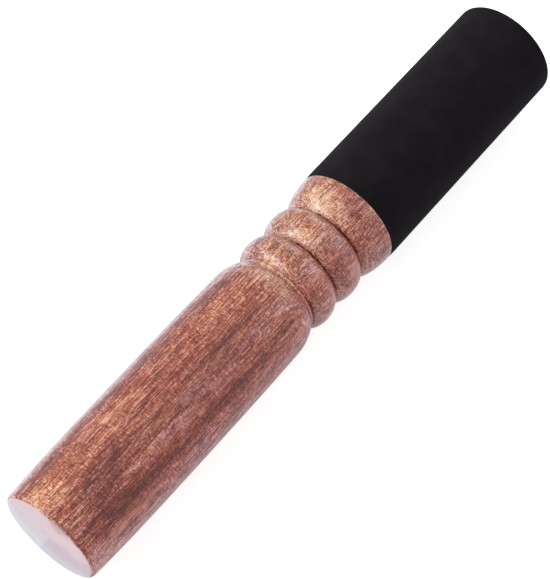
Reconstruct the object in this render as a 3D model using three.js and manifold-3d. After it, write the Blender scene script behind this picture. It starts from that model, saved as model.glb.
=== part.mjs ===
// Wrapped-head mallet for a singing bowl: one turned hardwood rod with a plain grip, a narrow
// ring, two beads and a flared collar, and a suede strip glued once round its straight head.
// Millimetres, +Z up. The mallet lies on its head along X, butt end towards -X.

import * as THREE from 'three';
import { mergeVertices } from 'three/addons/utils/BufferGeometryUtils.js';
import Module from 'manifold-3d';

const wasm = await Module();
wasm.setup();

// Lengths along the axis, in order from the butt face to the head end
const grip_length = 85.1;
const ring_length = 1.28;
const ring_gap = 0.12;
const first_bead_length = 9.0;
const second_bead_length = 10.1;
const collar_length = 9.8;
const head_length = 70.6;

// Radius of the round blank: every turned diameter is cut down from it
const blank_radius = 14.75;

// Grip: a long, barely swollen barrel with a small rounded edge at the butt
const butt_depth = 0.91;
const butt_edge_radius = 1.1;
const belly_depth = 0.19;
const belly_place = 50.0;
const shoulder_depth = 0.41;
const butt_fall_power = 3.6;
const shoulder_fall_power = 2.0;

// Shoulder: the grip rolls over on a soft, squarish quarter round, whose foot the ring cuts off
const shoulder_length = 7.5;
const shoulder_cut_off = 0.9;
const foot_depth = 3.42;
const shoulder_run_power = 2.0 / 1.9;
const shoulder_drop_power = 1.42;

// Grooves: how deep the cuts beside the ring and between the beads and the collar go
const ring_depth = 3.2;
const first_groove_depth = 3.32;
const second_groove_depth = 3.8;
const third_groove_depth = 3.42;

// Ring and beads: how far each one stands above the line between its two grooves
const ring_height = 0.42;
const first_bead_height = 2.74;
const second_bead_height = 2.86;

// Head: the suede strip stands a little proud of the collar, over glue and a straight spigot
const suede_proud = 0.12;
const suede_thickness = 1.4;
const suede_edge_radius = 0.4;
const rest_depth = 0.15;
const seam_width = 0.4;
const seam_angle = THREE.MathUtils.degToRad(-20);
const glue_thickness = 0.15;
const glue_setback = 1.0;
const cut_overrun = 1.0;

// Steps that round shapes are divided into
const around_steps = 48;
const grip_steps = 8;
const round_steps = 8;
const bead_steps = 12;
const ring_steps = 6;
const edge_steps = 3;

// Places worked out from the lengths, measured from the butt face
const shoulder_place = grip_length - shoulder_length;
const first_bead_place = grip_length + ring_length + ring_gap;
const second_bead_place = first_bead_place + first_bead_length;
const collar_place = second_bead_place + second_bead_length;
const head_place = collar_place + collar_length;
const total_length = head_place + head_length;

// Radii worked out from the blank
const butt_radius = blank_radius - butt_depth;
const belly_radius = blank_radius - belly_depth;
const shoulder_radius = blank_radius - shoulder_depth;
const foot_radius = blank_radius - foot_depth;
const ring_radius = blank_radius - ring_depth;
const first_groove_radius = blank_radius - first_groove_depth;
const second_groove_radius = blank_radius - second_groove_depth;
const third_groove_radius = blank_radius - third_groove_depth;
const suede_radius = blank_radius + suede_proud;
const glue_radius = suede_radius - suede_thickness;
const spigot_radius = glue_radius - glue_thickness;

// The mallet's weight presses the suede flat where it lies on it
const rest_height = suede_radius - rest_depth;
const facet_angle = (2 * Math.PI) / around_steps;

const wood = new THREE.MeshStandardMaterial({ color: 0x9a5f49, roughness: 0.42, metalness: 0.0 });
const suede = new THREE.MeshStandardMaterial({ color: 0x1f1c1f, roughness: 0.95, metalness: 0.0 });
const glue = new THREE.MeshStandardMaterial({ color: 0xb9985c, roughness: 0.5, metalness: 0.0 });

// Radius of the grip at a distance from the butt face
function gripRadius(place) {
  if (place < belly_place) {
    const share = 1 - place / belly_place;
    return belly_radius - (belly_radius - butt_radius) * share ** butt_fall_power;
  }
  const share = (place - belly_place) / (shoulder_place - belly_place);
  return belly_radius - (belly_radius - shoulder_radius) * share ** shoulder_fall_power;
}

// Points of a stretch, each from a function of a share that runs from 0 to 1
function stretch(steps, pointAt) {
  return Array.from({ length: steps + 1 }, (unused, step) => pointAt(step / steps));
}

// Half-ellipse ring or bead that starts and ends in its two grooves
function bead(start, length, startRadius, endRadius, height, steps) {
  return stretch(steps, (share) => {
    const turn = share * Math.PI;
    const along = (1 - Math.cos(turn)) / 2;
    const base = THREE.MathUtils.lerp(startRadius, endRadius, along);
    return new THREE.Vector2(base + height * Math.sin(turn), start + along * length);
  });
}

// Rounded edge of the butt, from the flat face out to the barrel
function buttEdge() {
  const edge_rim = gripRadius(butt_edge_radius);
  return stretch(edge_steps, (share) => {
    const turn = (share * Math.PI) / 2;
    return new THREE.Vector2(
      edge_rim - butt_edge_radius * (1 - Math.sin(turn)),
      butt_edge_radius * (1 - Math.cos(turn)),
    );
  });
}

// Barrel from the butt edge to the shoulder
function barrel() {
  return stretch(grip_steps, (share) => {
    const place = THREE.MathUtils.lerp(butt_edge_radius, shoulder_place, share);
    return new THREE.Vector2(gripRadius(place), place);
  });
}

// Roll of the grip down to the thin cut in front of the ring
function shoulder() {
  const roll_length = shoulder_length + shoulder_cut_off;
  const last_turn = Math.asin((shoulder_length / roll_length) ** (1 / shoulder_run_power));
  const drop = shoulder_radius - foot_radius;
  return stretch(round_steps, (share) => {
    const turn = share * last_turn;
    return new THREE.Vector2(
      foot_radius + drop * Math.cos(turn) ** shoulder_drop_power,
      shoulder_place + roll_length * Math.sin(turn) ** shoulder_run_power,
    );
  });
}

// Quarter-ellipse flare from the last groove up to the edge that meets the suede
function collar() {
  return stretch(round_steps, (share) => {
    const turn = (share * Math.PI) / 2;
    return new THREE.Vector2(
      third_groove_radius + third_groove_depth * Math.sin(turn),
      collar_place + collar_length * (1 - Math.cos(turn)),
    );
  });
}

// Rod profile: radius and distance from the butt, starting and ending on the axis
function rodProfile() {
  return [
    new THREE.Vector2(0, 0),
    ...buttEdge(),
    ...barrel().slice(1),
    ...shoulder().slice(1),
    ...bead(grip_length, ring_length, ring_radius, ring_radius, ring_height, ring_steps),
    ...bead(first_bead_place, first_bead_length, first_groove_radius, second_groove_radius,
      first_bead_height, bead_steps),
    ...bead(second_bead_place, second_bead_length, second_groove_radius, third_groove_radius,
      second_bead_height, bead_steps).slice(1),
    ...collar().slice(1),
    new THREE.Vector2(spigot_radius, head_place),
    new THREE.Vector2(spigot_radius, total_length),
    new THREE.Vector2(0, total_length),
  ];
}

// Closed ring profile of a sleeve round a bore, from its outer line
function sleeveProfile(bore_radius, outer_line) {
  const start = outer_line[0].y;
  const end = outer_line[outer_line.length - 1].y;
  return [
    new THREE.Vector2(bore_radius, start),
    ...outer_line,
    new THREE.Vector2(bore_radius, end),
    new THREE.Vector2(bore_radius, start),
  ];
}

// Outer line of the suede: straight, with both cut edges a little rounded
function suedeLine() {
  const edge_centre = suede_radius - suede_edge_radius;
  const firstEdge = stretch(edge_steps, (share) => {
    const turn = (share * Math.PI) / 2;
    return new THREE.Vector2(
      edge_centre + suede_edge_radius * Math.sin(turn),
      head_place + suede_edge_radius * (1 - Math.cos(turn)),
    );
  });
  const lastEdge = stretch(edge_steps, (share) => {
    const turn = (share * Math.PI) / 2;
    return new THREE.Vector2(
      edge_centre + suede_edge_radius * Math.cos(turn),
      total_length - suede_edge_radius * (1 - Math.sin(turn)),
    );
  });
  return [...firstEdge, ...lastEdge];
}

// Solid of revolution about X, with a flat side of its facets facing down
function turned(profile) {
  const geometry = new THREE.LatheGeometry(profile, around_steps, facet_angle / 2);
  return geometry.rotateZ(-Math.PI / 2);
}

// Three.js geometry to a solid that can be cut, and back again
function toSolid(geometry) {
  const bare = geometry.clone();
  bare.deleteAttribute('normal');
  bare.deleteAttribute('uv');
  const merged = mergeVertices(bare);
  return new wasm.Manifold(new wasm.Mesh({
    numProp: 3,
    vertProperties: new Float32Array(merged.attributes.position.array),
    triVerts: new Uint32Array(merged.index.array),
  }));
}

function toGeometry(solid) {
  const mesh = solid.getMesh();
  const geometry = new THREE.BufferGeometry();
  geometry.setAttribute('position', new THREE.BufferAttribute(mesh.vertProperties, mesh.numProp));
  geometry.setIndex(new THREE.BufferAttribute(mesh.triVerts, 1));
  geometry.computeVertexNormals();
  return geometry;
}

function named(name, geometry, material) {
  const mesh = new THREE.Mesh(geometry, material);
  mesh.name = name;
  return mesh;
}

// Grip, beads, collar and spigot, all turned from one rod
function turnedHandle() {
  return named('turned_handle', turned(rodProfile()), wood);
}

// Film of glue on the spigot, held back from the open end
function glueLayer() {
  const outer_line = [
    new THREE.Vector2(glue_radius, head_place),
    new THREE.Vector2(glue_radius, total_length - glue_setback),
  ];
  return named('glue_layer', turned(sleeveProfile(spigot_radius, outer_line)), glue);
}

// Slot that the two long edges of the strip leave between them
function seamSlot() {
  const slot_height = suede_thickness + 2 * cut_overrun;
  const slot = new THREE.BoxGeometry(head_length + 2 * cut_overrun, slot_height, seam_width);
  slot.translate(head_place + head_length / 2, glue_radius + suede_thickness / 2, 0);
  return slot.rotateX(seam_angle);
}

// Block under the resting head, level with the surface that the mallet lies on
function restBlock() {
  const block = new THREE.BoxGeometry(
    head_length + 2 * cut_overrun, 2 * suede_radius, suede_thickness);
  return block.translate(
    head_place + head_length / 2, 0, -rest_height - suede_thickness / 2);
}

// Suede strip wound once round the head, its two long edges meeting at a narrow seam
function suedeWrap() {
  const sleeve = toSolid(turned(sleeveProfile(glue_radius, suedeLine())))
    .subtract(toSolid(seamSlot()))
    .subtract(toSolid(restBlock()));
  return named('suede_wrap', toGeometry(sleeve), suede);
}

const mallet = new THREE.Group();
mallet.add(turnedHandle(), glueLayer(), suedeWrap());
mallet.position.set(-total_length / 2, 0, rest_height);

export default mallet;
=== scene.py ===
import logging
import math
from dataclasses import dataclass, field
from enum import Enum

import bpy
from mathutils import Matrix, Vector


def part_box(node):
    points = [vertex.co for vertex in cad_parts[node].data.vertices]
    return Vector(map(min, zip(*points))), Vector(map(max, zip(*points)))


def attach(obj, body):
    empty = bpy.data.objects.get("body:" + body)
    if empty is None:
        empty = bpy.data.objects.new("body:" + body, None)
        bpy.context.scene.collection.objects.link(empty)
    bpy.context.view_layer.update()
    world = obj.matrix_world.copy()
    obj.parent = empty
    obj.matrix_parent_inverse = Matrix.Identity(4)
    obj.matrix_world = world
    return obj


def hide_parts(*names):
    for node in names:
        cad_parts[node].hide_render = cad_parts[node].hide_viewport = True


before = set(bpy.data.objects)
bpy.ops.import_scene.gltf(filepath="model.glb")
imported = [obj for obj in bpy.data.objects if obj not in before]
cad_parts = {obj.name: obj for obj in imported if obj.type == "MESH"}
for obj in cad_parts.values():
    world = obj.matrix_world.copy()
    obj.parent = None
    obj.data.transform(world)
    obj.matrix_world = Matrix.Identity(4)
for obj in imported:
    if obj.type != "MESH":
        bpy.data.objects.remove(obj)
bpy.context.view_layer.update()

MM = 0.001
AXIS_HEIGHT = 14.72 * MM
WHITE = (1.0, 1.0, 1.0, 1.0)
LOG = logging.getLogger("mallet")

Socket = bpy.types.NodeSocket
Triple = tuple[float, float, float]
Colour = tuple[float, float, float, float]
Stops = tuple[tuple[float, Colour], ...]
Line = list[tuple[float, float]]

# Low and high end of a value, and what the two ends are taken to
Range = tuple[float, float, float, float]


class Slot(Enum):
    """Material slots of the record that the pieces take their finishes from."""

    WOOD = "turned_wood"
    SUEDE = "black_suede"
    GLUE = "contact_glue"


class Node(Enum):
    """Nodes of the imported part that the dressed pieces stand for."""

    HANDLE = "turned_handle"
    SUEDE = "suede_wrap"
    GLUE = "glue_layer"


def linear(red: int, green: int, blue: int) -> Colour:
    """Turn a display colour into the linear colour that a shader socket holds.

    Args:
        red: Red, 0 to 255.
        green: Green, 0 to 255.
        blue: Blue, 0 to 255.

    Returns:
        Linear red, green, blue and an alpha of 1.
    """
    def one(value: int) -> float:
        """Linear value of one channel."""
        share = value / 255
        return share / 12.92 if share <= 0.04045 else ((share + 0.055) / 1.055) ** 2.4

    return (one(red), one(green), one(blue), 1.0)


class Graph:
    """A node tree under construction, with short calls for the nodes it uses most."""

    def __init__(self, tree: bpy.types.NodeTree) -> None:
        """Start on a tree and empty it."""
        self.tree = tree
        tree.nodes.clear()

    def feed(self, socket: Socket, value: object) -> None:
        """Link an output to a socket, or set the socket's own value.

        Args:
            socket: The socket to feed.
            value: The output or the value.
        """
        if isinstance(value, Socket):
            self.tree.links.new(value, socket)
        else:
            socket.default_value = value

    def node(self, kind: str, values: dict | None = None, **settings: object) -> bpy.types.Node:
        """Add a node.

        Args:
            kind: The node's type name.
            values: Values or outputs for its inputs, by name or index.
            settings: Properties of the node.

        Returns:
            The new node.
        """
        made = self.tree.nodes.new(kind)
        for name, value in settings.items():
            setattr(made, name, value)
        for key, value in (values or {}).items():
            self.feed(made.inputs[key], value)
        return made

    def math(self, operation: str, *values: object) -> Socket:
        """Output of a Math node."""
        return self.node("ShaderNodeMath", dict(enumerate(values)), operation=operation).outputs[0]

    def add(self, first: object, second: object) -> Socket:
        """Sum of two numbers."""
        return self.math("ADD", first, second)

    def minus(self, first: object, second: object) -> Socket:
        """First number less the second."""
        return self.math("SUBTRACT", first, second)

    def times(self, first: object, second: object, plus: object = None) -> Socket:
        """Product of two numbers, plus a third where one is given."""
        terms = (first, second) if plus is None else (first, second, plus)
        return self.math("MULTIPLY" if plus is None else "MULTIPLY_ADD", *terms)

    def over(self, first: object, second: object) -> Socket:
        """First number divided by the second."""
        return self.math("DIVIDE", first, second)

    def squared(self, value: object) -> Socket:
        """Square of a number."""
        return self.math("POWER", value, 2.0)

    def positive(self, value: object) -> Socket:
        """Number, or 0 where it is below 0."""
        return self.math("MAXIMUM", value, 0.0)

    def choose(self, test: Socket, first: object, second: object) -> Socket:
        """First number where the test is 1, second number where it is 0."""
        return self.add(self.times(test, first), self.times(self.minus(1.0, test), second))

    def vector(self, operation: str, *values: object, output: str = "Vector") -> Socket:
        """Output of a Vector Math node, by the output's name."""
        made = self.node("ShaderNodeVectorMath", dict(enumerate(values)), operation=operation)
        return made.outputs[output]

    def scaled(self, vector: object, factor: object) -> Socket:
        """Vector times a number."""
        values = {0: vector, "Scale": factor}
        return self.node("ShaderNodeVectorMath", values, operation="SCALE").outputs[0]

    def dot(self, place: object, direction: Triple) -> Socket:
        """Length of a place along a direction."""
        return self.vector("DOT_PRODUCT", place, direction, output="Value")

    def combine(self, x: object = 0.0, y: object = 0.0, z: object = 0.0) -> Socket:
        """Vector from three numbers."""
        return self.node("ShaderNodeCombineXYZ", {0: x, 1: y, 2: z}).outputs[0]

    def cube(self, value: object) -> Socket:
        """Vector that holds one number three times."""
        return self.combine(value, value, value)

    def parts(self, vector: object) -> list[Socket]:
        """X, Y and Z of a vector."""
        return list(self.node("ShaderNodeSeparateXYZ", {0: vector}).outputs)

    def position(self) -> Socket:
        """Position of a point, in a Geometry Nodes tree."""
        return self.node("GeometryNodeInputPosition").outputs[0]

    def coordinates(self) -> Socket:
        """Object coordinates in metres, in a material's tree."""
        return self.node("ShaderNodeTexCoord").outputs["Object"]

    def remap(self, value: object, low: float, high: float, to_low: float = 0.0,
              to_high: float = 1.0, smooth: bool = False) -> Socket:
        """Value taken from one range to another and clamped, smoothly if asked.

        Args:
            value: The value.
            low: Start of its range.
            high: End of its range.
            to_low: Result at the start.
            to_high: Result at the end.
            smooth: Whether the result eases in and out.

        Returns:
            The result.
        """
        kind = "SMOOTHSTEP" if smooth else "LINEAR"
        values = {"Value": value, "From Min": low, "From Max": high, "To Min": to_low,
                  "To Max": to_high}
        made = self.node("ShaderNodeMapRange", values, interpolation_type=kind)
        return made.outputs["Result"]

    def stretched(self, place: object, sizes: Triple, shift: Triple = (0, 0, 0)) -> Socket:
        """Place divided by a grain's length, width and depth, then shifted."""
        values = {"Vector": place, "Location": shift, "Scale": tuple(1 / size for size in sizes)}
        return self.node("ShaderNodeMapping", values).outputs[0]

    def noise(self, place: object, detail: float, roughness: float = 0.5) -> Socket:
        """Noise of scale 1 at a place, from 0 to 1."""
        values = {"Vector": place, "Scale": 1.0, "Detail": detail, "Roughness": roughness}
        return self.node("ShaderNodeTexNoise", values).outputs[0]

    def blend(self, share: object, first: object, second: object, kind: str = "MIX") -> Socket:
        """Colour between two colours."""
        made = self.node("ShaderNodeMix", {0: share, 6: first, 7: second},
                         data_type="RGBA", blend_type=kind, clamp_factor=True)
        return made.outputs[2]

    def ramp(self, value: object, stops: Stops) -> Socket:
        """Colour from a ramp of places and colours.

        Args:
            value: Place in the ramp.
            stops: Places and colours, in rising order.

        Returns:
            The colour.
        """
        made = self.node("ShaderNodeValToRGB", {0: value})
        elements = made.color_ramp.elements
        while len(elements) < len(stops):
            elements.new(0.5)
        for element, (place, colour) in zip(elements, stops):
            element.position = place
            element.color = colour
        return made.outputs[0]

    def bump(self, height: object, strength: float, distance: float) -> Socket:
        """Normal of a surface with fine relief, whose full height is a distance in millimetres."""
        values = {"Height": height, "Strength": strength, "Distance": distance * MM}
        return self.node("ShaderNodeBump", values).outputs[0]


def new_material(name: str) -> tuple[bpy.types.Material, Graph]:
    """Make an empty node material.

    Args:
        name: The material's name.

    Returns:
        The material and the graph of its tree.
    """
    material = bpy.data.materials.new(name)
    material.use_nodes = True
    return material, Graph(material.node_tree)


def close_material(graph: Graph, shader: bpy.types.Node) -> None:
    """Send a shader to the material's output."""
    graph.node("ShaderNodeOutputMaterial", {"Surface": shader.outputs[0]})


@dataclass(frozen=True)
class FigureAndLightPatch:
    """A soft patch of tone, tint and blush, placed on the unrolled surface. Most patches are
    figure in the wood; some are painted highlights on the sides that face the lamps, painted sheen
    along the rims and painted shade at the grooves.

    Places and lengths run along the axis in millimetres from the butt; angles and widths are in
    degrees round the axis, from the crest that the camera sees towards the near side. Tone is
    lighter or darker; tint is golden above 0 and mauve below; blush is rosier above 0 and
    more olive below.
    """

    place: float
    angle: float
    length: float
    width: float
    tone: float = 0.0
    tint: float = 0.0
    blush: float = 0.0


@dataclass(frozen=True)
class GrainLayer:
    """Noise with a size of its own in each direction, drawn out along the rod or round it.

    Sizes are in millimetres, the shift is in whole sizes, and a gain above 1 gives the noise
    crisp edges.
    """

    sizes: Triple
    shift: Triple
    detail: float
    strength: float = 1.0
    gain: float = 1.0
    roughness: float = 0.5

    def noise(self, graph: Graph, place: Socket) -> Socket:
        """Noise of the layer at a place, from 0 to 1."""
        spot = graph.stretched(place, self.sizes, self.shift)
        return graph.noise(spot, self.detail, self.roughness)

    def level(self, graph: Graph, place: Socket) -> Socket:
        """Noise of the layer about 0, clamped to a quarter of its gain if it is crisp.

        Args:
            graph: The material's tree.
            place: Place in millimetres.

        Returns:
            The level.
        """
        noise = self.noise(graph, place)
        if self.gain == 1.0:
            return graph.minus(noise, 0.5)
        reach, peak = 0.5 / self.gain, 0.25 * self.gain
        return graph.remap(noise, 0.5 - reach, 0.5 + reach, -peak, peak)

    def onto(self, graph: Graph, place: Socket, total: object) -> Socket:
        """Total with the layer's level added to it in its strength."""
        return graph.times(self.level(graph, place), self.strength, total)


@dataclass(frozen=True)
class PoreLayer:
    """Open pores, each in a cell of its own.

    Sizes of a cell are in millimetres, the reach and the core are shares of a cell and of the
    reach, and the share is how many of the cells hold a pore.
    """

    sizes: Triple
    reach: float
    core: float = 0.45
    share: float = 0.45

    def weight(self, graph: Graph, place: Socket) -> Socket:
        """Weight of the pores: short dashes along the grain, dots where it is cut across.

        Args:
            graph: The material's tree.
            place: Place in millimetres.

        Returns:
            The weight, 1 in the middle of a pore.
        """
        cells = graph.node("ShaderNodeTexVoronoi", {
            "Vector": graph.stretched(place, self.sizes), "Scale": 1.0, "Randomness": 1.0})
        hole = graph.remap(cells.outputs["Distance"], self.reach, self.reach * self.core)
        chosen = graph.node("ShaderNodeSeparateColor", {0: cells.outputs["Color"]}).outputs[0]
        return graph.times(hole, graph.math("LESS_THAN", chosen, self.share))


@dataclass(frozen=True)
class VarnishedWood:
    """Reddish-brown hardwood with fine streaks, open pores, lathe marks and a satin varnish.
    Its colour also holds painted highlights, painted sheen along the rims, painted shade in the
    grooves and a painted glare on the butt.

    The axis height and the butt's place are in metres, all other lengths in millimetres. Angles
    are in degrees, as a Figure's are.
    """

    axis_height: float
    butt_place: float
    crest: Triple = (0.0, -0.353, 0.936)
    far_side: Triple = (0.0, 0.936, 0.353)
    tones: Stops = (
        (0.05, linear(72, 19, 11)), (0.30, linear(122, 44, 30)), (0.52, linear(158, 78, 57)),
        (0.74, linear(188, 115, 89)), (1.0, linear(228, 184, 162)))
    middle_tone: float = 0.458
    mauve_cast: Colour = (0.91, 1.09, 1.64, 1.0)
    gold_cast: Colour = (1.03, 1.16, 0.80, 1.0)
    rosy_cast: Colour = (1.08, 0.89, 1.00, 1.0)
    olive_cast: Colour = (0.93, 1.08, 1.03, 1.0)
    drift: GrainLayer = GrainLayer((55, 9, 9), (0, 0, 0), 1.0, 3.4)
    bands: GrainLayer = GrainLayer((50, 3.0, 5.0), (0, 0, 0), 1.0, 0.28)
    blotches: GrainLayer = GrainLayer((5.0, 1.7, 2.6), (8, 8, 1), 1.0, 0.22)
    streaks: GrainLayer = GrainLayer((14, 0.7, 2.0), (4, 1, 8), 0.0, 0.09)
    hairs: GrainLayer = GrainLayer((4.2, 0.19, 0.7), (1, 5, 2), 0.0, 0.20, 4.0)
    dashes: GrainLayer = GrainLayer((0.8, 0.21, 0.5), (4, 4, 6), 0.0, 0.30)
    marks: GrainLayer = GrainLayer((0.21, 1.2, 1.9), (7, 3, 4), 0.0, 0.88)
    mark_depths: Range = (1.25, 0.75, 0.6, 1.2)
    specks: GrainLayer = GrainLayer((0.24, 0.21, 0.26), (3, 9, 6), 0.0, 0.24, 4.0)
    lines: GrainLayer = GrainLayer((17, 1.1, 3.0), (5, 2, 9), 1.0, 0.10)
    line_width: float = 0.035
    casts: GrainLayer = GrainLayer((10, 1.9, 3.0), (6, 4, 3), 1.0, 1.8)
    fine_casts: GrainLayer = GrainLayer((2.2, 0.5, 1.2), (9, 7, 5), 0.0, 0.6)
    clarity: GrainLayer = GrainLayer((7.0, 2.4, 2.4), (2, 8, 8), 1.0, 1.3)
    pore: Colour = linear(78, 22, 15)
    coarse_pores: PoreLayer = PoreLayer((1.6, 0.30, 0.36), 0.36)
    fine_pores: PoreLayer = PoreLayer((0.6, 0.26, 0.30), 0.42)
    fine_pore_weight: float = 0.7
    pore_weight: float = 0.8
    clusters: GrainLayer = GrainLayer((9.0, 2.6, 2.6), (4, 9, 2), 1.0)
    crowding: Range = (-0.06, 0.12, 0.15, 1.0)
    # Places and tones of the dark lines at the butt's rim and in the grooves: partly dirt, partly
    # painted shade.
    grooves: tuple[tuple[float, float], ...] = (
        (0.55, -0.45), (85.1, -0.20), (86.45, -0.14), (95.5, -0.25), (105.6, -0.25))
    groove_reach: float = 0.30
    groove_facing: Range = (-50.0, 5.0, 0.2, 1.0)
    breaks: GrainLayer = GrainLayer((0.5, 1.1, 1.1), (6, 1, 7), 1.0)
    break_depths: Range = (0.35, 0.6, 0.25, 1.0)
    # Pale rosy, mauve and grey tones of the butt: painted glare of the white room on the end
    # grain.
    end_tones: Stops = (
        (0.0, linear(192, 187, 196)), (0.12, linear(192, 187, 196)),
        (0.32, linear(188, 167, 176)), (0.50, linear(188, 167, 176)),
        (0.66, linear(205, 176, 179)), (0.92, linear(205, 176, 179)),
        (1.0, linear(172, 136, 138)))
    end_depth: float = 0.12
    end_reach: float = 12.0
    end_bow: float = -0.03
    end_waver: GrainLayer = GrainLayer((9, 6, 5), (2, 6, 3), 3.0, 9.0)
    end_rings: GrainLayer = GrainLayer((1.0, 0.8, 6.0), (5, 5, 8), 3.0)
    end_shades: Range = (0.3, 0.7, 0.91, 1.06)
    roughness: float = 0.46
    hair_roughness: float = 0.05
    specular: float = 0.4
    relief: float = 0.03
    relief_strength: float = 0.5
    far_coat: Range = (-64.0, -72.0, 0.5, 1.0)
    near_coat: Range = (10.0, 55.0, 1.0, 0.28)
    bead_coat: Range = (82.0, 88.0, 0.0, 0.2)
    bare_place: float = 115.45
    coat_roughness: float = 0.15
    coat_index: float = 1.45
    sheen: float = 0.8
    sheen_roughness: float = 0.2
    sheen_tint: Colour = linear(165, 200, 255)
    wander: GrainLayer = GrainLayer((26, 0.9, 0.9), (9, 2, 5), 2.0)
    wander_reach: Range = (76.0, 85.0, 26.0, 1.5)
    ragged: GrainLayer = GrainLayer((14, 2.2, 2.2), (3, 7, 1), 1.0, 12.0)
    figure_rim: float = 1.25
    figure_core: float = 0.15
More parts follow.
